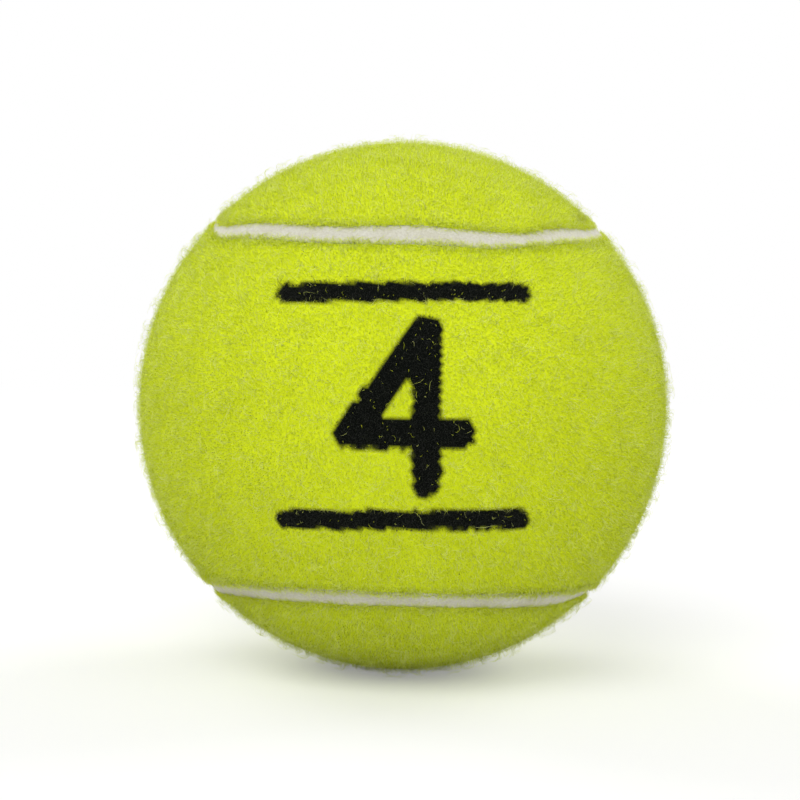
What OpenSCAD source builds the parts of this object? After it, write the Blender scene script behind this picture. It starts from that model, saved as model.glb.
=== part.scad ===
// A pressurised tennis ball: two rubber half shells cemented into a hollow core, and two
// dumbbell-shaped felt panels cemented over it, with one closed seam between their edges.
// The origin is the ball's centre and +Z is up. The front panel's neck faces -Y and its lobes
// reach round to +X and -X. The back panel's neck faces +Y and its lobes reach over the top
// and under the bottom.

/* [Rubber core] */
// Outside diameter of the rubber core
core_d = 60; // [56:0.1:64]
// Wall of the two rubber half shells
core_wall = 3.6; // [3:0.1:5]

/* [Joint of the core] */
// Thickness of the cement between the rims of the half shells
joint_t = 0.2; // [0.1:0.05:0.5]
// Radius of the bead of cement that is squeezed out inside the core
joint_bead_r = 0.6; // [0.4:0.05:1]

/* [Cement coats] */
// Thickness of the rubber cement over the whole core
core_coat_t = 0.15; // [0.1:0.05:0.3]
// Thickness of the adhesive on the back of a felt panel
back_coat_t = 0.2; // [0.1:0.05:0.4]

/* [Felt panels] */
// Thickness of the felt, from the back of its weave to the top of its nap
felt_t = 2.9; // [2.4:0.1:3.4]
// Distance straight across the neck of a panel, between the seam's centre lines
neck_w = 42.6; // [39:0.1:46]
// Radius of the felt's edge where it turns down to the seam
felt_edge_r = 0.6; // [0.4:0.1:1.5]

/* [Seam] */
// Width of the seam where it is narrowest, between the straight felt edges
seam_w = 2.2; // [1.6:0.1:3]
// Depth of the seam's surface below the top of the nap
seam_recess = 0.4; // [0.3:0.05:0.9]

/* [Colours] */
// Colour of the felt
felt_colour = "#CFDB3B";
// Colour of the seam
seam_colour = "#DEDDD2";
// Colour of the core's rubber
rubber_colour = "#2E2D2B";
// Colour of the cement
cement_colour = "#B99A63";

/* [Hidden] */
$fn = 96;

// What a cutting body runs past the surface that it cuts
overrun = 1;

// The layers from the inside out
core_r = core_d / 2;
air_r = core_r - core_wall;
coat_r = core_r + core_coat_t;
felt_back_r = coat_r + back_coat_t;
ball_r = felt_back_r + felt_t;
foot_r = coat_r - overrun;
reach = ball_r + overrun;

// The seam is four arcs, each a part of a circle about the axis of one lobe. Seen from the
// ball's centre, every circle has the same half angle. A circle of the back panel and one of
// the front panel touch at a point that lies halfway between the top and a side, in the plane
// y = 0, and the seam passes from one to the other there without a kink. A lobe's axis leans
// by lobe_tilt out of that plane, towards its own panel's neck, or away where it is negative.
neck_angle = asin(neck_w / (2 * ball_r));
lobe_tilt = atan((sin(neck_angle) - sin(45)) / cos(neck_angle));
circle_angle = acos(cos(lobe_tilt) * cos(45));
arc_end_lean = atan(sqrt(2) * tan(lobe_tilt));

// The centre of the felt's rounded edge, across and along the ray through the seam's middle
edge_across = seam_w / 2 + felt_edge_r;
edge_along = sqrt(pow(ball_r - felt_edge_r, 2) - pow(edge_across, 2));
flare_scale = reach / (ball_r - felt_edge_r);

// Leans a section drawn along the axis until its middle lies on the ray to the seam
module on_ray() {
    rotate(-45) rotate(45 - circle_angle) children();
}

// The gap between two felt edges: straight at its foot, and flared where both edges turn over
module gap_section() {
    half_w = seam_w / 2;
    on_ray() difference() {
        polygon([
            [-half_w, foot_r],
            [half_w, foot_r],
            [half_w, edge_along],
            [edge_across, edge_along],
            [edge_across * flare_scale, edge_along * flare_scale],
            [-edge_across * flare_scale, edge_along * flare_scale],
            [-edge_across, edge_along],
            [-half_w, edge_along]
        ]);
        for (side = [-1, 1]) translate([side * edge_across, edge_along]) circle(r = felt_edge_r);
    }
}

// All between a lobe's axis and the ray through the seam's middle
module lobe_section() {
    foot = [foot_r * sin(circle_angle), foot_r * cos(circle_angle)];
    rim = [reach * sin(circle_angle), reach * cos(circle_angle)];
    polygon([[0, foot[1]], foot, rim, [rim[0], reach], [0, reach]]);
}

module ring_section(inner_r, outer_r) {
    difference() {
        circle(r = outer_r);
        circle(r = inner_r);
    }
}

// The ball's layers are spheres whose poles lie at the top and the bottom
module spherical_layer(inner_r, outer_r) {
    difference() {
        sphere(r = outer_r);
        sphere(r = inner_r);
    }
}

// Puts a body made about +Z on the axes of the back panel's two lobes
module at_back_lobes() {
    for (below = [0, 1]) mirror([0, 0, below]) rotate([-lobe_tilt, 0, 0]) children();
}

// The front panel is the back panel seen in a mirror and turned a quarter turn, and the other
// way round
module to_other_panel() {
    rotate([0, 90, 0]) mirror([0, 1, 0]) children();
}

// All that lies in front of the four places where one arc of the seam passes into the next.
// There the arcs end on planes that hold the ball's centre and both of their axes.
module in_front_of_arc_ends() {
    for (left = [0, 1], below = [0, 1]) mirror([left, 0, 0]) mirror([0, 0, below]) intersection() {
        translate([0, -reach, 0]) cube([reach, 2 * reach, reach]);
        rotate([0, 45, 0]) rotate([0, 0, -arc_end_lean]) translate([-2 * reach, -4 * reach, -2 * reach])
            cube(4 * reach);
    }
}

// A body made about +Z, on the back panel's lobe axes and in front of the arcs' ends
module round_back_lobes() {
    intersection() {
        at_back_lobes() children();
        in_front_of_arc_ends();
    }
}

// The whole gap between the felt edges
module gap() {
    round_back_lobes() rotate_extrude() gap_section();
    to_other_panel() round_back_lobes() rotate_extrude() gap_section();
}

// The front panel's part of a layer: its neck between the back panel's lobes and their gap,
// and its own two lobes. These are whole round caps, and their front halves lie in the neck.
module dumbbell(inner_r, outer_r) {
    intersection() {
        spherical_layer(inner_r, outer_r);
        union() {
            difference() {
                in_front_of_arc_ends();
                at_back_lobes() rotate_extrude() {
                    lobe_section();
                    gap_section();
                }
            }
            to_other_panel() at_back_lobes() rotate_extrude() difference() {
                lobe_section();
                gap_section();
            }
        }
    }
}

// A hemisphere of the core with its flat rim ground off by half the cement's thickness
module half_shell() {
    difference() {
        spherical_layer(air_r, core_r);
        translate([-reach, -reach, joint_t / 2 - 2 * reach]) cube(2 * reach);
    }
}

module half_shell_upper() {
    color(rubber_colour) half_shell();
}

module half_shell_lower() {
    color(rubber_colour) mirror([0, 0, 1]) half_shell();
}

// A flat ring between the rims, with a round bead along its inner edge
module core_joint_cement() {
    color(cement_colour) rotate_extrude() {
        intersection() {
            ring_section(air_r, core_r);
            translate([0, -joint_t / 2]) square([core_r, joint_t]);
        }
        intersection() {
            circle(r = air_r);
            translate([air_r, 0]) circle(r = joint_bead_r);
        }
    }
}

module core_cement_coat() {
    color(cement_colour) spherical_layer(core_r, coat_r);
}

module felt_back_coat_front() {
    color(cement_colour) dumbbell(coat_r, felt_back_r);
}

module felt_back_coat_back() {
    color(cement_colour) to_other_panel() dumbbell(coat_r, felt_back_r);
}

module felt_panel_front() {
    color(felt_colour) dumbbell(felt_back_r, ball_r);
}

module felt_panel_back() {
    color(felt_colour) to_other_panel() dumbbell(felt_back_r, ball_r);
}

module seam_strip() {
    color(seam_colour) intersection() {
        spherical_layer(coat_r, ball_r - seam_recess);
        gap();
    }
}

half_shell_upper();
half_shell_lower();
core_joint_cement();
core_cement_coat();
felt_back_coat_front();
felt_back_coat_back();
felt_panel_front();
felt_panel_back();
seam_strip();
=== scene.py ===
import itertools
import math
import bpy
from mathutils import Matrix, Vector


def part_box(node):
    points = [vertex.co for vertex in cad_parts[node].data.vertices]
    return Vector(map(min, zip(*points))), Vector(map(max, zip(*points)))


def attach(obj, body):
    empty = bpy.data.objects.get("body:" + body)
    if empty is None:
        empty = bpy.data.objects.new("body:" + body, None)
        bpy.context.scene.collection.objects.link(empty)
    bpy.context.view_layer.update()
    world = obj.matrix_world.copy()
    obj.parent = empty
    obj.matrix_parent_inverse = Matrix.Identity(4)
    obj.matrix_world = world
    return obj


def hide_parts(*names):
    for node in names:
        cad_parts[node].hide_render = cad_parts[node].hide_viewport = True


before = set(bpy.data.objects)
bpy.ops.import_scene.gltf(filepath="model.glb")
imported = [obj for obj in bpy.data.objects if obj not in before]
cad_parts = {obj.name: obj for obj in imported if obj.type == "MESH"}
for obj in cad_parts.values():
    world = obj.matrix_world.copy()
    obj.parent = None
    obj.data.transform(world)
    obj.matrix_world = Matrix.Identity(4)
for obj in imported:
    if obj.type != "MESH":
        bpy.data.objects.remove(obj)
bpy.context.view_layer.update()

from types import SimpleNamespace

import bmesh
import bpy
import numpy as np
from mathutils import Matrix, Vector

# A tennis ball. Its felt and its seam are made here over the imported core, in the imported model's
# frame. Those of the lamps and the floor are in metres.
MM = 0.001

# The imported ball's radii, and the sizes that shape its seam
BALL_R = -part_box("felt_panel_front")[0].y / MM
FELT_BACK_R = -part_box("felt_back_coat_front")[0].y / MM
CORE_COAT_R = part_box("core_cement_coat")[1].z / MM
NECK_W = 42.6
SEAM_W = 2.2
SEAM_RECESS = 0.4
# The mat under the standing nap: its depth below the nap's top, and the radius of its cut edge
MAT_DEPTH = 0.45
MAT_EDGE_R = 0.2

# Where the seam strays from its circles: a direction, how far round it that reaches, and how
# far the seam's middle moves towards the front panel
SWERVES = [
    ((-0.66, -0.37, 0.65), 6.5, 1.0),
    ((0.03, -0.77, 0.64), 6.5, -0.5),
    ((0.03, -0.77, 0.64), 16.0, 0.15),
    ((0.44, -0.63, 0.64), 6.0, 0.65),
    ((0.66, -0.37, 0.65), 5.5, 0.3),
    ((0.73, -0.10, 0.68), 8.0, 0.9),
    ((-0.05, -0.65, -0.76), 20.0, 0.57),
    ((0.73, -0.19, -0.66), 7.5, 1.2),
]
# Where it was pressed narrow: a direction, how far round it that reaches, and the share of its
# width that it loses there, or gains if below zero
PINCHES = [
    ((-0.71, -0.25, 0.66), 6.0, 0.48),
    ((0.03, -0.77, 0.64), 4.5, -0.13),
    ((0.48, -0.60, 0.64), 4.5, 0.25),
    ((0.70, -0.24, 0.67), 4.0, 0.2),
    ((-0.05, -0.68, -0.73), 20.0, 0.1),
    ((0.73, -0.19, -0.66), 6.0, 0.3),
]

# Unevenness: how far it goes either way, how large its lumps are, and the seed they come from.
# That of the seam's width is a share of it.
FELT_WAVES = [(0.04, 8, 1), (0.015, 2.5, 2)]
MAT_ROUGHNESS = [(0.02, 0.6, 4)]
INK_RAGGEDNESS = [(0.16, 0.7, 5), (0.14, 2, 6)]
RUBBER_WAVES = [(0.05, 1.6, 7), (0.035, 0.5, 8), (0.07, 6, 9)]
SEAM_WANDERING = [(0.1, 9, 10)]
SEAM_WIDTH_CHANGES = [(0.08, 3.5, 11), (0.07, 1, 12)]

# The seam is four arcs of circles about the axes of the two panels' lobes
HALF_W = SEAM_W / 2
NECK_ANGLE = math.asin(NECK_W / (2 * BALL_R))
LOBE_TILT = math.atan((math.sin(NECK_ANGLE) - math.sin(math.pi / 4)) / math.cos(NECK_ANGLE))
CIRCLE_ANGLE = math.acos(math.cos(LOBE_TILT) * math.cos(math.pi / 4))
TILT_SIN, TILT_COS = math.sin(LOBE_TILT), math.cos(LOBE_TILT)
ARC_HALF_TURN = math.atan2(1, TILT_SIN)

# Where the camera stood: how far the ball is turned before it, in degrees, and how far away it
# is. Then its sensor, and the size of the photograph and the ball's place in it.
VIEW_TURNS = {"X": 3.68, "Y": 1.46, "Z": -3.42}
CAMERA_DISTANCE = 8 * BALL_R
SENSOR_W = 36
PHOTO_PX = 800
BALL_R_PX = 264.7
BALL_CENTRE_PX = (403, 406)


# Directions from the ball's centre


def unit(vectors):
    return vectors / np.linalg.norm(vectors, axis=-1, keepdims=True)


def tangent(vectors, directions):
    """Unit vectors along the ball at some directions, as near to the given ones as can be."""
    return unit(vectors - (vectors * directions).sum(1)[:, None] * directions)


def turned(start, towards, angle):
    """Vectors turned by an angle from start towards a vector square to it."""
    return np.cos(angle)[..., None] * start + np.sin(angle)[..., None] * towards


def nearness(directions, place, reach):
    """1 at a place on the ball, falling smoothly to 0 beyond its reach."""
    off = np.linalg.norm(directions - unit(np.array(place)), axis=1) * BALL_R
    return np.exp(-((off / reach) ** 2))


def lumps(points, size, seed):
    """Smooth noise from -1 to 1, with lumps about size across."""
    period = 32
    table = np.random.default_rng(seed).uniform(-1, 1, (period,) * 3)
    cells = points / size
    base = np.floor(cells).astype(int)
    share = cells - base
    share = share * share * (3 - 2 * share)
    total = np.zeros(len(points))
    for corner in itertools.product((0, 1), repeat=3):
        weight = np.where(corner, share, 1 - share).prod(axis=1)
        total += weight * table[tuple(((base + corner) % period).T)]
    return total


def uneven(level, points, kinds):
    """A level with unevenness of each kind added to it."""
    return sum((depth * lumps(points, size, seed) for depth, size, seed in kinds), level)


# The seam's geometry


def nearest_lobe(directions):
    """The lobe axis whose circle is the seam nearest to each direction, and the side of that
    circle on which the front panel lies: 1 outside it, -1 inside it."""
    x, y, z = directions.T
    before = y < -math.tan(LOBE_TILT) * (abs(x) - abs(z))
    none = np.zeros(len(x))
    over_or_under = np.stack([none, none + TILT_SIN, np.copysign(TILT_COS, z)], 1)
    left_or_right = np.stack([np.copysign(TILT_COS, x), none - TILT_SIN, none], 1)
    return np.where(before[:, None], over_or_under, left_or_right), np.where(before, 1, -1)


def stray(directions):
    """How far the seam's middle lies off its circle there, towards the front panel."""
    total = uneven(0, directions * BALL_R, SEAM_WANDERING)
    for place, reach, shift in SWERVES:
        total += shift * nearness(directions, place, reach)
    return total


def width_share(directions):
    """How wide the seam is there, as a share of its usual width."""
    share = uneven(1, directions * BALL_R, SEAM_WIDTH_CHANGES)
    for place, reach, loss in PINCHES:
        share -= loss * nearness(directions, place, reach)
    return share


def seam_distance(directions):
    """Distance from the seam's middle along the ball, above zero on the front panel. It counts
    for more where the seam is narrow, so that the felt's edge is at HALF_W everywhere."""
    axis, side = nearest_lobe(directions)
    angle = np.arccos(np.clip((directions * axis).sum(1), -1, 1))
    off = side * (angle - CIRCLE_ANGLE) * BALL_R - stray(directions)
    return off / width_share(directions)


def at_distance(directions, distance):
    """The same directions, moved straight towards or away from the seam to that distance."""
    axis, side = nearest_lobe(directions)
    off = distance * width_share(directions) + stray(directions)
    return turned(axis, tangent(directions, axis), CIRCLE_ANGLE + side * off / BALL_R)


def seam_line():
    """Directions along the middle of the seam, once round, and the way to the front panel."""
    spacing = 0.3
    arcs = [
        ((0, TILT_SIN, TILT_COS), (0, -TILT_COS, TILT_SIN), (1, 0, 0), 1),
        ((TILT_COS, -TILT_SIN, 0), (TILT_SIN, TILT_COS, 0), (0, 0, -1), -1),
        ((0, TILT_SIN, -TILT_COS), (0, -TILT_COS, -TILT_SIN), (-1, 0, 0), 1),
        ((-TILT_COS, -TILT_SIN, 0), (-TILT_SIN, TILT_COS, 0), (0, 0, 1), -1),
    ]
    arc_length = 2 * ARC_HALF_TURN * BALL_R * math.sin(CIRCLE_ANGLE)
    points = round(arc_length / spacing)
    turn = np.linspace(-ARC_HALF_TURN, ARC_HALF_TURN, points, endpoint=False)
    middles, ways = [], []
    for axis, middle, end, side in arcs:
        axis = np.array(axis)
        outwards = turned(np.array(middle), np.array(end), turn)
        middles.append(math.cos(CIRCLE_ANGLE) * axis + math.sin(CIRCLE_ANGLE) * outwards)
        ways.append(side * (math.cos(CIRCLE_ANGLE) * outwards - math.sin(CIRCLE_ANGLE) * axis))
    return np.vstack(middles), np.vstack(ways)


def mat_top(distance):
    """Radius of the mat at a distance from the seam's middle, rounded at the cut edge."""
    short = np.clip(HALF_W + MAT_EDGE_R - distance, 0, MAT_EDGE_R)
    return BALL_R - MAT_DEPTH - MAT_EDGE_R + np.sqrt(MAT_EDGE_R**2 - short**2)


def waviness(directions):
    """How far the whole felt rises and falls, which its outline shows."""
    return uneven(0, directions * BALL_R, FELT_WAVES)


# Mesh tools


def ride_on_ball(piece):
    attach(piece, "root")
    return piece


def mesh_piece(name, points, triangles, material, bake_places, **attributes):
    """A smooth mesh from arrays, with a value at each point for every named attribute and a
    map of places for baking."""
    mesh = bpy.data.meshes.new(name)
    mesh.vertices.add(len(points))
    mesh.vertices.foreach_set("co", (points * MM).astype(np.float32).ravel())
    corners = np.ascontiguousarray(triangles, dtype=np.int32).ravel()
    mesh.loops.add(len(corners))
    mesh.loops.foreach_set("vertex_index", corners)
    mesh.polygons.add(len(triangles))
    mesh.polygons.foreach_set("loop_start", np.arange(0, len(corners), 3, dtype=np.int32))
    mesh.polygons.foreach_set("use_smooth", np.ones(len(triangles), dtype=bool))
    mesh.update(calc_edges=True)
    for attribute, values in attributes.items():
        layer = mesh.attributes.new(attribute, "FLOAT", "POINT")
        layer.data.foreach_set("value", values.astype(np.float32))
    layer = mesh.uv_layers.new(name="OFBake")
    layer.data.foreach_set("uv", bake_places[corners].astype(np.float32).ravel())
    mesh.materials.append(material)
    piece = bpy.data.objects.new(name, mesh)
    bpy.context.scene.collection.objects.link(piece)
    return piece


def sphere_grid(subdivisions):
    """Directions and triangles of an even grid on the sphere."""
    bm = bmesh.new()
    bmesh.ops.create_icosphere(bm, subdivisions=subdivisions, radius=1)
    mesh = bpy.data.meshes.new("grid")
    bm.to_mesh(mesh)
    bm.free()
    directions = np.empty(len(mesh.vertices) * 3, np.float32)
    mesh.vertices.foreach_get("co", directions)
    triangles = np.empty(len(mesh.loops), np.int32)
    mesh.loops.foreach_get("vertex_index", triangles)
    bpy.data.meshes.remove(mesh)
    return unit(directions.reshape(-1, 3).astype(float)), triangles.reshape(-1, 3)


# The felt panels


def panel_part(directions, triangles, side):
    """The part of a grid on one panel, up to the felt's edge. Points near the edge move onto
    it, and triangles across it are cut. Returns directions, triangles and the edge's loop."""
    directions = directions.copy()
    inside = side * seam_distance(directions) - HALF_W
    first_edges = directions[triangles[:, 0]] - directions[triangles[:, 1]]
    spacing = BALL_R * np.linalg.norm(first_edges, axis=1).mean()
    near = abs(inside) < spacing / 4
    directions[near] = at_distance(directions[near], side * HALF_W)
    inside[near] = 0

    signs = np.sign(inside)[triangles]
    across = (signs.max(1) > 0) & (signs.min(1) < 0)
    kept = list(triangles[(signs.max(1) > 0) & (signs.min(1) >= 0)])
    added, cuts = [], {}

    def cut(a, b):
        """The point where the edge from a to b crosses the felt's edge."""
        key = (min(a, b), max(a, b))
        if key not in cuts:
            cuts[key] = len(directions) + len(added)
            share = inside[a] / (inside[a] - inside[b])
            added.append(unit(directions[a] * (1 - share) + directions[b] * share))
        return cuts[key]

    for triangle in triangles[across]:
        outline = []
        for a, b in zip(triangle, np.roll(triangle, -1)):
            if inside[a] >= 0:
                outline.append(a)
            if inside[a] * inside[b] < 0:
                outline.append(cut(a, b))
        kept += [(outline[0], *pair) for pair in zip(outline[1:], outline[2:])]

    added = at_distance(np.array(added), side * HALF_W)
    return tidied(np.vstack([directions, added]), np.array(kept))


def tidied(directions, triangles):
    """Drops points that no triangle uses, and finds the loop of the open edge, which runs as
    the triangles beside it do."""
    used, triangles = np.unique(triangles, return_inverse=True)
    triangles = triangles.reshape(-1, 3)
    edges = {(a, b) for t in triangles for a, b in zip(t, (t[1], t[2], t[0]))}
    after = {a: b for a, b in edges if (b, a) not in edges}
    loop = [min(after)]
    while after[loop[-1]] != loop[0]:
        loop.append(after[loop[-1]])
    return directions[used], triangles, loop


def wall_between(points, outer_loop, inner_loop):
    """Triangles that join two loops which run side by side, the next one always across the
    shorter way."""
    start = np.linalg.norm(points[inner_loop] - points[outer_loop[0]], axis=1).argmin()
    outer = outer_loop + outer_loop[:1]
    inner = inner_loop[start:] + inner_loop[: start + 1]
    i = j = 0
    wall = []
    while i < len(outer) - 1 or j < len(inner) - 1:
        a, b = outer[i], inner[j]
        if j == len(inner) - 1:
            along_outer = True
        elif i == len(outer) - 1:
            along_outer = False
        else:
            over = np.linalg.norm(points[outer[i + 1]] - points[b])
            under = np.linalg.norm(points[inner[j + 1]] - points[a])
            along_outer = over < under
        if along_outer:
            wall.append((a, b, outer[i + 1]))
            i += 1
        else:
            wall.append((a, b, inner[j + 1]))
            j += 1
    return wall


def round_map(directions, side):
    """Places on a map with the panel's middle in its centre, at even distances from it."""
    widest = math.radians(145)
    tiny = 1e-9
    angle = np.arccos(np.clip(-side * directions[:, 1], -1, 1)) / widest
    flat = directions[:, [0, 2]]
    flat = flat / np.maximum(np.linalg.norm(flat, axis=1, keepdims=True), tiny)
    return 0.5 + 0.5 * angle[:, None] * flat


def felt_panel(panel, side, material):
    """The mat of one felt panel: its surface under the standing nap, its edge and its back."""
    top, top_triangles, top_loop = panel_part(*fine_grid, side)
    back, back_triangles, back_loop = panel_part(*coarse_grid, side)
    even_top = mat_top(side * seam_distance(top)) + waviness(top)
    radius = uneven(even_top, top * BALL_R, MAT_ROUGHNESS)
    points = np.vstack([top * radius[:, None], back * FELT_BACK_R])
    back_triangles = back_triangles[:, ::-1] + len(top)
    back_loop = [index + len(top) for index in back_loop]
    wall = [t[::-1] for t in wall_between(points, top_loop, back_loop)]
    triangles = np.vstack([top_triangles, back_triangles, wall])
    directions = unit(points)
    printed = ink(directions) * (np.arange(len(points)) < len(top))
    places = round_map(directions, side)
    piece = mesh_piece(f"felt_{panel}", points, triangles, material, places, ink=printed)
    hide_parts(f"felt_panel_{panel}")
    return ride_on_ball(piece)


# The print: a plain play number between two plain bars


def to_print(directions):
    """Places on the print, across and up, as the camera sees them."""
    return directions @ np.array([print_right, print_up]).T * BALL_R


def ink(directions):
    """How much ink lies at each direction, from 0 to 1, with a ragged edge."""
    number_half_w, bar_half_w = 1.75, 1.15
    stem_x, foot_x, bar_z = 2.7, -6.1, -3.1
    number_top, number_bottom, arm_x = 8.6, -8.6, 6.4
    rule_z, rule_x = 13, 13.5
    strokes = [
        ((stem_x, number_top), (stem_x, number_bottom), number_half_w),
        ((stem_x, number_top), (foot_x, bar_z), number_half_w),
        ((foot_x, bar_z), (arm_x, bar_z), number_half_w),
        ((-rule_x, rule_z), (rule_x, rule_z), bar_half_w),
        ((-rule_x, -rule_z), (rule_x, -rule_z), bar_half_w),
    ]
    places = to_print(directions)
    ragged = uneven(0, directions * BALL_R, INK_RAGGEDNESS)
    deepest = np.full(len(places), -np.inf)
    for start, end, half_width in strokes:
        start, along = np.array(start), np.subtract(end, start)
        share = np.clip((places - start) @ along / (along @ along), 0, 1)
        off = np.linalg.norm(places - start - share[:, None] * along, axis=1)
        deepest = np.maximum(deepest, half_width - off)
    facing = directions @ np.cross(print_right, print_up) > 0
    softness = 0.12
    printed = np.clip(0.5 + (deepest + ragged) / softness, 0, 1)
    smudge_place, smudge_size, smudge_depth = (21.7, 23.0), (0.9, 0.6), 0.3
    off = (places - smudge_place) / smudge_size
    smudge = smudge_depth * np.exp(-np.square(off).sum(1))
    return np.maximum(printed, smudge) * facing


# The nap


def fibres(piece, **settings):
    """A kind of fibre. Unless its settings say so, it grows all over and not in bunches."""
    usual = {"edge": False, "bunch": 1, "bunch_w": 0, "stray": 0}
    return SimpleNamespace(piece=piece, **{**usual, **settings})


# The kinds of fibre. Pairs are the ends of a range, and angles are in radians.
# edge: whether they root along the cut edges, and not all over
# bunch, bunch_w: how many start together, and how wide apart their roots are
# steps: how many straight parts each has
# lift: how far the top of its arch is above the top of the nap, or under it if below zero
# turn, wobble: how far it turns on its whole way, and how unsteadily
# stray: how far one of a bunch runs and turns off from the others
# over_seam: how near to the seam's middle it may come. It may cross it if below zero.
# tint: from the deepest colour of the felt, at 0, to the palest, at 1
NAPS = [
    # Short fibres, matted down
    fibres("nap", count=230000, steps=2, length=(0.3, 0.62), width=(0.05, 0.08),
           lift=(-0.3, -0.1), turn=0.9, wobble=0.3, over_seam=(0.5, 1.15), tint=(0, 0.9)),
    # Longer curled fibres on top of them
    fibres("fuzz", count=28000, steps=4, length=(0.8, 1.8), width=(0.025, 0.045),
           lift=(-0.3, 0.4), turn=2, wobble=0.4, over_seam=(0.4, 1.15), tint=(0.2, 1)),
    # Fine pale fibres that stand up all over
    fibres("fuzz", count=60000, steps=2, length=(0.8, 1.6), width=(0.02, 0.032),
           lift=(-0.1, 0.5), turn=0.8, wobble=0.4, over_seam=(0.2, 1.1), tint=(0.8, 1)),
    # Fibres along the cut edges of the panels, which lean over the seam
    fibres("fuzz", edge=True, count=24000, steps=3, length=(0.7, 1.9), width=(0.025, 0.045),
           lift=(-0.3, 0.2), turn=1.2, wobble=0.4, over_seam=(-0.5, 1.1), tint=(0.3, 1)),
    # Loose fibres that stand away from the ball in thin tufts
    fibres("fuzz", count=11000, bunch=5, bunch_w=0.5, steps=6, length=(1.5, 3.2),
           width=(0.02, 0.035), lift=(0.1, 1.1), turn=1.6, wobble=0.45, stray=0.4,
           over_seam=(0.4, 1.1), tint=(0.85, 1)),
]
FIRST_NAP_SEED = 20
ROOT_DEPTH = MAT_DEPTH + 0.1
ROOT_SPREAD = 0.1
# How far in from the cut edges the fibres there root
EDGE_REACH = 1.3
# How much of a whole arch, up and down again, a fibre makes. A power below 1 lets it rise soon.
ARCH_SHARE = (0.45, 1)
ARCH_POWER = 0.8
# The least share of its length that a fibre runs along the ball
LEAST_RUN = 0.3
TINT_SPREAD = 0.05
# How far fibres stay off the seam's rubber, and the share of their height that they keep there
RUBBER_GAP = 0.1
HEIGHT_OVER_RUBBER = 0.1
# How far fibres stay off the floor, and how steeply down they must lie to come near it
FLOOR_GAP = 0.05
LEAST_DOWNWARD = 0.5
# The share of fibres that the ink missed
BARE_SHARE = 0.03


def between(rng, limits, count):
    return rng.uniform(limits[0], limits[1], count)


def even_roots(rng, count):
    """Directions spread evenly over the sphere, and a random way to run from each."""
    scatter = 0.3
    step = np.arange(count)
    turn = step * math.pi * (3 - math.sqrt(5))
    up = 1 - (2 * step + 1) / count
    level = np.sqrt(1 - up**2)
    spread = np.stack([level * np.cos(turn), level * np.sin(turn), up], 1)
    spacing = math.sqrt(4 * math.pi / count)
    roots = unit(spread + rng.normal(0, scatter * spacing, spread.shape))
    return roots, np.cross(roots, rng.normal(size=roots.shape))


def edge_roots(rng, count):
    """Directions along the cut edges of both panels, and a way to run towards the seam."""
    crowding, scatter = 1.5, 0.1
    middles, ways = seam_line()
    here = rng.integers(0, len(middles), count)
    side = rng.choice((-1, 1), count)
    offset = side * (HALF_W + EDGE_REACH * rng.uniform(0, 1, count) ** crowding)
    offset = offset * width_share(middles[here]) + stray(middles[here])
    roots = unit(turned(middles[here], ways[here], offset / BALL_R))
    roots = unit(roots + rng.normal(0, scatter / BALL_R, roots.shape))
    return roots, rng.normal(0, 1, roots.shape) - side[:, None] * ways[here]


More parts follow.
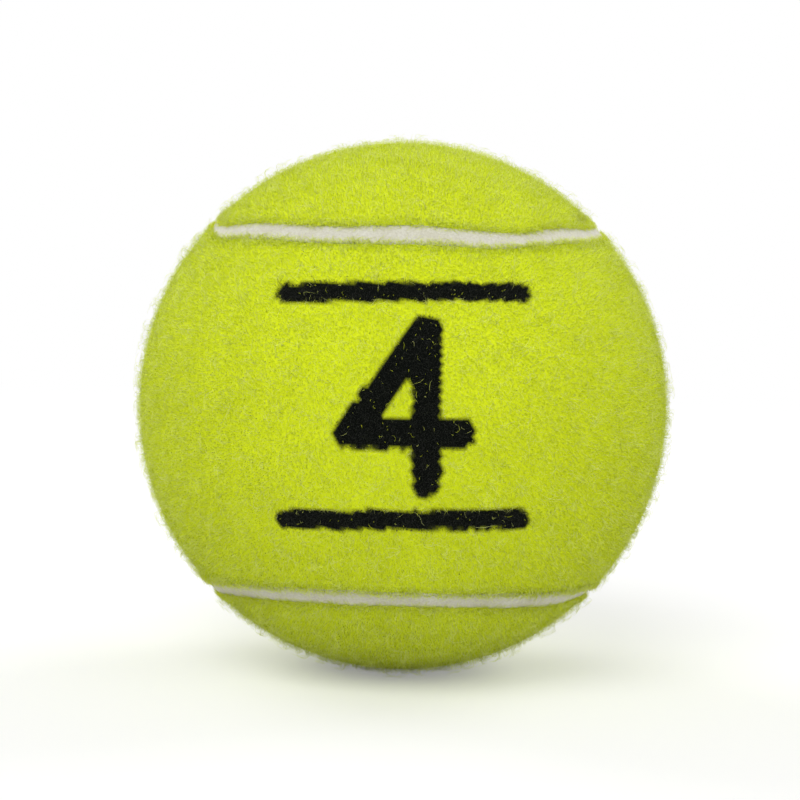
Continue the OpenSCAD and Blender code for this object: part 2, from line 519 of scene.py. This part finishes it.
def grow(nap, seed):
    """The centre lines of one kind of fibre. They start in bunches on the felt, run along it as
    they turn, rise and mostly come down again. Some lean over the seam. Returns the directions
    and radii of their points, the way each runs there, and the panel's side."""
    rng = np.random.default_rng(seed)
    bunches = nap.count // nap.bunch
    roots, leans = edge_roots(rng, bunches) if nap.edge else even_roots(rng, bunches)
    of_bunch = np.repeat(np.arange(bunches), nap.bunch)
    apart = rng.normal(0, 1, (len(of_bunch), 3)) * nap.bunch_w / 2 / BALL_R
    roots = unit(roots[of_bunch] + apart)
    side = np.sign(seam_distance(roots))
    kept = side * seam_distance(roots) > HALF_W
    of_bunch, side = of_bunch[kept], side[kept]
    direction, count = roots[kept], kept.sum()
    heading = unit(leans)[of_bunch] + rng.normal(0, nap.stray, (count, 3))
    heading = tangent(heading, direction)
    length = between(rng, nap.length, count)
    lift = ROOT_DEPTH + between(rng, nap.lift, bunches)[of_bunch]
    lift -= rng.uniform(0, ROOT_SPREAD, count)
    arch = between(rng, ARCH_SHARE, count)
    bend = rng.normal(0, nap.turn, bunches)[of_bunch] + rng.normal(0, nap.stray, count)
    tint = between(rng, nap.tint, bunches)[of_bunch] + rng.normal(0, TINT_SPREAD, count)
    least, most = nap.over_seam
    nearest = least + (most - least) * np.sqrt(rng.uniform(0, 1, count))

    directions, headings, radii = [], [], []
    height_before = np.zeros(count)
    for k in range(nap.steps + 1):
        height = lift * np.sin(math.pi * arch * (k / nap.steps) ** ARCH_POWER)
        if k:
            step = length / nap.steps
            rise = height - height_before
            run = np.sqrt(np.maximum(step**2 - rise**2, (LEAST_RUN * step) ** 2))
            direction = unit(direction + heading * (run[:, None] / BALL_R))
            strayed = side * seam_distance(direction) < nearest
            direction[strayed] = at_distance(direction[strayed], (side * nearest)[strayed])
            turn = (bend + rng.normal(0, nap.wobble * nap.steps, count)) / nap.steps
            heading = tangent(heading, direction)
            heading = turned(heading, np.cross(direction, heading), turn)
        distance = side * seam_distance(direction)
        radius = BALL_R + waviness(direction) - ROOT_DEPTH + height
        over_rubber = BALL_R - SEAM_RECESS + RUBBER_GAP + HEIGHT_OVER_RUBBER * height
        least_radius = np.where(distance < HALF_W + RUBBER_GAP, over_rubber, 0)
        floor_radius = (BALL_R - FLOOR_GAP) / np.maximum(-direction[:, 2], LEAST_DOWNWARD)
        directions.append(direction)
        headings.append(heading)
        radii.append(np.minimum(np.maximum(radius, least_radius), floor_radius))
        height_before = height
    width = between(rng, nap.width, count)
    return SimpleNamespace(
        directions=np.stack(directions, 1), headings=np.stack(headings, 1),
        radii=np.stack(radii, 1), side=side, width=width, tint=np.clip(tint, 0, 1),
        bare=rng.uniform(0, 1, count) < BARE_SHARE,
    )


def octant_map(directions):
    """Places on a map of one eighth of the sphere."""
    margin = 0.02
    share = abs(directions) / abs(directions).sum(1, keepdims=True)
    return margin + (1 - 2 * margin) * share[:, [0, 2]]


def tubes(lines):
    """Three-sided tubes round centre lines, closed at the root and drawn out to a point at the
    tip. Returns points, triangles of one tube, and the values that the nodes read."""
    sides, thinning, patch = 3, 0.55, 0.005
    count, rings = lines.radii.shape[0], lines.radii.shape[1] - 1
    centres = lines.directions * lines.radii[:, :, None]
    along = unit(np.gradient(centres, axis=1))
    sideways = unit(np.cross(lines.directions, lines.headings))
    upwards = np.cross(sideways, along)
    taper = 1 - thinning * (np.arange(rings) / rings) ** 2
    reach = (lines.width[:, None] / 2 * taper)[:, :, None, None]
    angles = np.arange(sides) * 2 * math.pi / sides
    ways = turned(sideways[:, :rings, None, :], upwards[:, :rings, None, :], angles)
    rounds = centres[:, :rings, None, :] + reach * ways
    points = np.concatenate([rounds.reshape(count, -1, 3), centres[:, rings:]], 1)

    triangles = [(2, 1, 0)]
    for ring, corner in itertools.product(range(rings), range(sides)):
        here, beside = sides * ring + corner, sides * ring + (corner + 1) % sides
        if ring == rings - 1:
            triangles.append((here, beside, sides * rings))
        else:
            triangles += [(here, beside, beside + sides), (here, beside + sides, here + sides)]

    inked = ink(lines.directions.reshape(-1, 3)).reshape(count, rings + 1)
    inked *= ~lines.bare[:, None]
    share_along = np.arange(rings + 1) / rings
    ring_places = np.arange(rings) / rings - 0.5
    side_places = np.linspace(-0.5, 0.5, sides)
    corner_places = [*itertools.product(ring_places, side_places), (0.5, 0)]
    repeat = [sides] * rings + [1]
    return SimpleNamespace(
        points=points, triangles=np.array(triangles),
        ink=np.repeat(inked, repeat, axis=1),
        rise=np.tile(np.repeat(share_along, repeat), (count, 1)),
        tint=np.tile(lines.tint[:, None], (1, points.shape[1])),
        places=octant_map(lines.directions[:, 0])[:, None, :] + patch * np.array(corner_places),
    )


def joined(shown, values, width):
    """The named values of all fibres that are shown, in rows of some width."""
    return np.concatenate([getattr(made, values)[chosen].reshape(-1, width)
                           for made, chosen in shown])


def nap_pieces(material):
    """All fibres, in pieces of one eighth of the ball on each panel."""
    kinds = {}
    for number, nap in enumerate(NAPS):
        lines = grow(nap, FIRST_NAP_SEED + number)
        octant = (lines.directions[:, 0] > 0) @ np.array([1, 2, 4])
        kinds.setdefault(nap.piece, []).append((lines.side, octant, tubes(lines)))

    pieces = {1: [], -1: []}
    for name, side, octant in itertools.product(kinds, (1, -1), range(8)):
        shown = [(made, (sides == side) & (octants == octant))
                 for sides, octants, made in kinds[name]]
        triangles, start = [], 0
        for made, chosen in shown:
            size = made.points.shape[1]
            starts = start + size * np.arange(chosen.sum())
            triangles.append((starts[:, None, None] + made.triangles).reshape(-1, 3))
            start += size * chosen.sum()
        panel = "front" if side > 0 else "back"
        piece = mesh_piece(
            f"{name}_{panel}_{octant + 1}", joined(shown, "points", 3),
            np.concatenate(triangles), material, joined(shown, "places", 2),
            **{values: joined(shown, values, 1).ravel() for values in ("ink", "rise", "tint")},
        )
        pieces[side].append(ride_on_ball(piece))
    return pieces


# The seam


def seam(material):
    """The rubber seam: one closed bead between the felt edges, uneven as it was pressed."""
    tucked_under, crown, columns_on_top = 0.2, 0.06, 13
    shares = np.linspace(-1, 1, columns_on_top)
    middles, ways = seam_line()
    rings, columns = len(middles), len(shares) + 2
    shift = stray(middles)[:, None] / BALL_R
    share = width_share(middles)[:, None]
    across = shift + shares * (HALF_W + tucked_under) * share / BALL_R
    top = turned(middles[:, None], ways[:, None], across)
    waves = uneven(0, top.reshape(-1, 3) * BALL_R, RUBBER_WAVES).reshape(rings, -1)
    radius = BALL_R - SEAM_RECESS + waves + crown * (1 - shares**4)
    below = shift + HALF_W * share / BALL_R * np.array([1, -1])
    foot = turned(middles[:, None], ways[:, None], below)
    points = np.concatenate([top * radius[:, :, None], foot * CORE_COAT_R], 1)

    ring, column = np.meshgrid(np.arange(rings), np.arange(columns), indexing="ij")
    next_ring, next_column = (ring + 1) % rings, (column + 1) % columns
    here, beside = ring * columns + column, ring * columns + next_column
    ahead, ahead_beside = next_ring * columns + column, next_ring * columns + next_column
    triangles = np.concatenate([
        np.stack([here, beside, ahead_beside], -1).reshape(-1, 3),
        np.stack([here, ahead_beside, ahead], -1).reshape(-1, 3),
    ])
    # The map for baking holds the strip in rows
    rows, margin = 16, 0.05
    row, along = np.divmod(np.arange(rings) * rows / rings, 1)
    up = np.linspace(margin, 1 - margin, columns)
    along = np.broadcast_to(along[:, None], (rings, columns))
    places = np.stack([along, (row[:, None] + up) / rows], -1).reshape(-1, 2)
    piece = mesh_piece("seam_rubber", points.reshape(-1, 3), triangles, material, places)
    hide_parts("seam_strip")
    return ride_on_ball(piece)


# Materials. Colours are linear. Sizes of noise and depths of bumps are in millimetres.


INK = (0.003, 0.004, 0.003)
INK_WORN = (0.014, 0.018, 0.008)
FELT_DEEP = (0.74, 0.85, 0.012)
FELT_MAIN = (0.81, 0.92, 0.024)
FELT_PALE = (0.93, 0.99, 0.36)
SEAM_DULL, SEAM_BRIGHT = (0.60, 0.58, 0.48), (0.74, 0.73, 0.65)
RUBBER_DARK, RUBBER_SPECK = (0.022, 0.021, 0.020), (0.10, 0.095, 0.09)
CEMENT_DARK, CEMENT_LIGHT = (0.30, 0.17, 0.05), (0.55, 0.38, 0.16)
UNCHANGED = (1, 1, 1)


def material_with(name, roughness, specular, sheen=0.0):
    """A material, its node tree and its shader."""
    material = bpy.data.materials.new(name)
    material.use_nodes = True
    shader = material.node_tree.nodes["Principled BSDF"]
    shader.inputs["Roughness"].default_value = roughness
    shader.inputs["Specular IOR Level"].default_value = specular
    shader.inputs["Sheen Weight"].default_value = sheen
    shader.inputs["Sheen Roughness"].default_value = 0.5
    return material, material.node_tree, shader


def noise_at(tree, size, detail=2.0):
    """Noise with lumps about size across, fixed to the ball."""
    place = tree.nodes.new("ShaderNodeTexCoord")
    texture = tree.nodes.new("ShaderNodeTexNoise")
    texture.inputs["Scale"].default_value = 1 / (size * MM)
    texture.inputs["Detail"].default_value = detail
    tree.links.new(place.outputs["Object"], texture.inputs["Vector"])
    return texture.outputs["Fac"]


def ramp(tree, value, *stops):
    """Colours along a value. A stop is a place from 0 to 1 and an RGB colour."""
    node = tree.nodes.new("ShaderNodeValToRGB")
    elements = node.color_ramp.elements
    while len(elements) < len(stops):
        elements.new(1)
    for element, (place, colour) in zip(elements, stops):
        element.position = place
        element.color = (*colour, 1)
    tree.links.new(value, node.inputs["Fac"])
    return node.outputs["Color"]


def mixed(tree, share, first, second, blend="MIX"):
    """Mixes two colours. share and both colours are outputs or fixed values."""
    node = tree.nodes.new("ShaderNodeMix")
    node.data_type = "RGBA"
    node.blend_type = blend
    sockets = {s.identifier: s for s in node.inputs}
    for name, value in (("Factor_Float", share), ("A_Color", first), ("B_Color", second)):
        if isinstance(value, bpy.types.NodeSocket):
            tree.links.new(value, sockets[name])
        elif name == "Factor_Float":
            sockets[name].default_value = value
        else:
            sockets[name].default_value = (*value, 1)
    return next(s for s in node.outputs if s.identifier == "Result_Color")


def multiplied(tree, first, second):
    return mixed(tree, 1.0, first, second, "MULTIPLY")


def attribute(tree, name):
    """A value that the mesh carries at its points."""
    node = tree.nodes.new("ShaderNodeAttribute")
    node.attribute_name = name
    return node.outputs["Fac"]


def set_colour(tree, shader, colour):
    tree.links.new(colour, shader.inputs["Base Color"])


def bump(tree, shader, height, depth):
    """Bumps the shader's surface by a height from 0 to 1, which is depth deep."""
    node = tree.nodes.new("ShaderNodeBump")
    node.inputs["Distance"].default_value = depth * MM
    tree.links.new(height, node.inputs["Height"])
    tree.links.new(node.outputs["Normal"], shader.inputs["Normal"])


def felt_mat_material():
    """The mat of the felt under its nap."""
    material, tree, shader = material_with("felt_mat", roughness=0.95, specular=0.05, sheen=0.05)
    fine = noise_at(tree, size=0.12, detail=1)
    broad = noise_at(tree, size=6)
    colour = ramp(tree, fine, (0.3, FELT_DEEP), (0.7, FELT_MAIN))
    shade = ramp(tree, broad, (0.3, (0.94, 0.94, 0.94)), (0.7, UNCHANGED))
    colour = multiplied(tree, colour, shade)
    set_colour(tree, shader, mixed(tree, attribute(tree, "ink"), colour, INK))
    bump(tree, shader, fine, depth=0.06)
    return material


def fibre_material():
    """Dyed wool and nylon fibres: each has its own tint, and painted shade darkens each one towards
    its root.
    """
    material, tree, shader = material_with("felt_fibre", roughness=0.85, specular=0.06, sheen=0.1)
    colour = ramp(tree, attribute(tree, "tint"),
                  (0, FELT_DEEP), (0.4, FELT_MAIN), (0.7, FELT_MAIN), (1, FELT_PALE))
    broad = noise_at(tree, size=6)
    shade = ramp(tree, broad, (0.3, (0.97, 0.97, 0.97)), (0.7, UNCHANGED))
    # Painted shade: each fibre is darker near its root, where the fibres around it shade it.
    root = ramp(tree, attribute(tree, "rise"), (0, (0.8, 0.81, 0.7)), (0.4, UNCHANGED))
    kink = noise_at(tree, size=0.12, detail=1)
    glint = ramp(tree, kink, (0.35, (0.86, 0.86, 0.84)), (0.6, UNCHANGED))
    for change in (shade, glint, root):
        colour = multiplied(tree, colour, change)
    inks = mixed(tree, noise_at(tree, size=0.5), INK, INK_WORN)
    set_colour(tree, shader, mixed(tree, attribute(tree, "ink"), colour, inks))
    return material


def seam_material():
    """Pale rubber, matt and powdery, a little soiled in places."""
    material, tree, shader = material_with("seam_rubber", roughness=0.8, specular=0.2)
    grain = noise_at(tree, size=0.25, detail=4)
    patches = noise_at(tree, size=3, detail=3)
    colour = ramp(tree, grain, (0.3, SEAM_DULL), (0.7, SEAM_BRIGHT))
    soil = ramp(tree, patches, (0.3, (0.93, 0.92, 0.86)), (0.6, UNCHANGED))
    set_colour(tree, shader, multiplied(tree, colour, soil))
    bump(tree, shader, grain, depth=0.08)
    return material


def core_rubber_material():
    """Dark moulded rubber with pale specks of filler."""
    material, tree, shader = material_with("core_rubber", roughness=0.6, specular=0.4)
    specks = noise_at(tree, size=0.6, detail=4)
    set_colour(tree, shader, ramp(tree, specks, (0.45, RUBBER_DARK), (0.75, RUBBER_SPECK)))
    bump(tree, shader, specks, depth=0.05)
    return material


def cement_material():
    """Dried rubber cement, amber and brushed on unevenly."""
    material, tree, shader = material_with("cement", roughness=0.45, specular=0.5)
    strokes = noise_at(tree, size=2.5, detail=5)
    set_colour(tree, shader, ramp(tree, strokes, (0.3, CEMENT_DARK), (0.7, CEMENT_LIGHT)))
    bump(tree, shader, strokes, depth=0.1)
    return material


def finish_node(name, material):
    """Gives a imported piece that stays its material."""
    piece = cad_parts[name]
    for place in piece.material_slots:
        place.material = material


# Camera, floor and light


# Soft boxes: name, place, size, and how brightly each alone lights a white card that faces it
LAMPS = [
    ("key", (-0.5, -1.5, 1.3), 1.4, 0.6),
    ("fill", (1.5, -1.2, 0.7), 1.5, 0.21),
    ("left_rim", (-1.3, 1.2, 0.9), 1.2, 0.42),
    ("right_rim", (1.3, 1.2, 0.9), 1.2, 0.42),
]
# How strongly the white world lights the ball, though it is seen as full white
WORLD_LIGHT = 0.4
# The floor near the ball: its paint, and how far it glows by itself
FLOOR_PAINT = (0.72, 0.72, 0.72)
FLOOR_GLOW = 0.27


def camera():
    """The camera where the photograph was taken. Returns the ways right and up in its view."""
    turns = Matrix.Identity(3)
    for axis, angle in VIEW_TURNS.items():
        turns = Matrix.Rotation(math.radians(angle), 3, axis) @ turns
    data = bpy.data.cameras.new("camera")
    data.sensor_width = SENSOR_W
    half_width = PHOTO_PX / 2 * math.tan(math.asin(BALL_R / CAMERA_DISTANCE)) / BALL_R_PX
    data.lens = SENSOR_W / 2 / half_width
    data.shift_x = (PHOTO_PX / 2 - BALL_CENTRE_PX[0]) / PHOTO_PX
    data.shift_y = (BALL_CENTRE_PX[1] - PHOTO_PX / 2) / PHOTO_PX
    data.clip_start, data.clip_end = 0.01, 20
    made = bpy.data.objects.new("camera", data)
    bpy.context.scene.collection.objects.link(made)
    facing = Matrix(((1, 0, 0), (0, 0, -1), (0, 1, 0)))
    made.matrix_world = (turns.transposed() @ facing).to_4x4()
    made.location = turns.transposed() @ Vector((0, -CAMERA_DISTANCE * MM, 0))
    bpy.context.scene.camera = made
    right, up = turns.transposed() @ Vector((1, 0, 0)), turns.transposed() @ Vector((0, 0, 1))
    return np.array(right), np.array(up)


def lamp(name, place, size, level):
    """A square soft box that faces the ball."""
    data = bpy.data.lights.new(name, "AREA")
    data.size = size
    data.energy = level * math.pi**2 * Vector(place).length_squared
    made = bpy.data.objects.new(name, data)
    made.location = place
    made.rotation_euler = (-Vector(place)).to_track_quat("-Z", "Y").to_euler()
    bpy.context.scene.collection.objects.link(made)


def math_node(tree, operation, *values):
    node = tree.nodes.new("ShaderNodeMath")
    node.operation = operation
    for value, socket in zip(values, node.inputs):
        tree.links.new(value, socket)
    return node.outputs[0]


def seen_directly(tree):
    """1 for rays from the camera or from a mirror or glass, and 0 for light."""
    path = tree.nodes.new("ShaderNodeLightPath")
    total = path.outputs["Is Camera Ray"]
    for name in ("Is Glossy Ray", "Is Transmission Ray"):
        total = math_node(tree, "MAXIMUM", total, path.outputs[name])
    return total


def fade_to_one(tree, value, start):
    """A value from 0 to 1, changed so that it runs from start to 1."""
    node = tree.nodes.new("ShaderNodeMapRange")
    node.inputs["To Min"].default_value = start
    tree.links.new(value, node.inputs["Value"])
    return node.outputs["Result"]


def light():
    """The lamps and a white world."""
    for settings in LAMPS:
        lamp(*settings)
    world = bpy.data.worlds.new("world")
    world.use_nodes = True
    bpy.context.scene.world = world
    tree = world.node_tree
    background = tree.nodes["Background"]
    background.inputs["Color"].default_value = (1, 1, 1, 1)
    strength = fade_to_one(tree, seen_directly(tree), WORLD_LIGHT)
    tree.links.new(strength, background.inputs["Strength"])


def floor():
    """A pale floor with the ball's shadow, which fades into the white behind it."""
    half = 6
    fade_from, fade_to = 0.12, 0.6
    corners = [(-half, -half), (half, -half), (half, half), (-half, half)]
    mesh = bpy.data.meshes.new("floor")
    mesh.from_pydata([(x, y, -BALL_R * MM) for x, y in corners], [], [(0, 1, 2, 3)])
    made = bpy.data.objects.new("floor", mesh)
    bpy.context.scene.collection.objects.link(made)
    material, tree, shader = material_with("floor", roughness=0.9, specular=0)
    place = tree.nodes.new("ShaderNodeTexCoord")
    away = tree.nodes.new("ShaderNodeVectorMath")
    away.operation = "LENGTH"
    tree.links.new(place.outputs["Object"], away.inputs[0])
    fade = tree.nodes.new("ShaderNodeMapRange")
    fade.interpolation_type = "SMOOTHSTEP"
    fade.inputs["From Min"].default_value = fade_from
    fade.inputs["From Max"].default_value = fade_to
    tree.links.new(away.outputs["Value"], fade.inputs["Value"])
    set_colour(tree, shader, mixed(tree, fade.outputs["Result"], FLOOR_PAINT, (0, 0, 0)))
    glow = fade_to_one(tree, fade.outputs["Result"], FLOOR_GLOW)
    seen = math_node(tree, "MULTIPLY", seen_directly(tree), glow)
    shader.inputs["Emission Color"].default_value = (1, 1, 1, 1)
    tree.links.new(seen, shader.inputs["Emission Strength"])
    mesh.materials.append(material)


# The scene


print_right, print_up = camera()
bpy.context.scene.view_settings.view_transform = "Standard"
fine_grid = sphere_grid(subdivisions=7)
coarse_grid = sphere_grid(subdivisions=5)

felt_mat, fibre = felt_mat_material(), fibre_material()
naps = nap_pieces(fibre)
# A felt blank is a dumbbell, as long as the way over its neck from one lobe's end to the other.
# The seam is eight half arcs long.
for side, panel in ((1, "front"), (-1, "back")):
    sheet = felt_panel(panel, side, felt_mat)
seam(seam_material())

core_rubber, cement = core_rubber_material(), cement_material()
for node in ("half_shell_upper", "half_shell_lower"):
    finish_node(node, core_rubber)
for node in (
    "core_joint_cement", "core_cement_coat", "felt_back_coat_front", "felt_back_coat_back",
):
    finish_node(node, cement)

floor()
light()
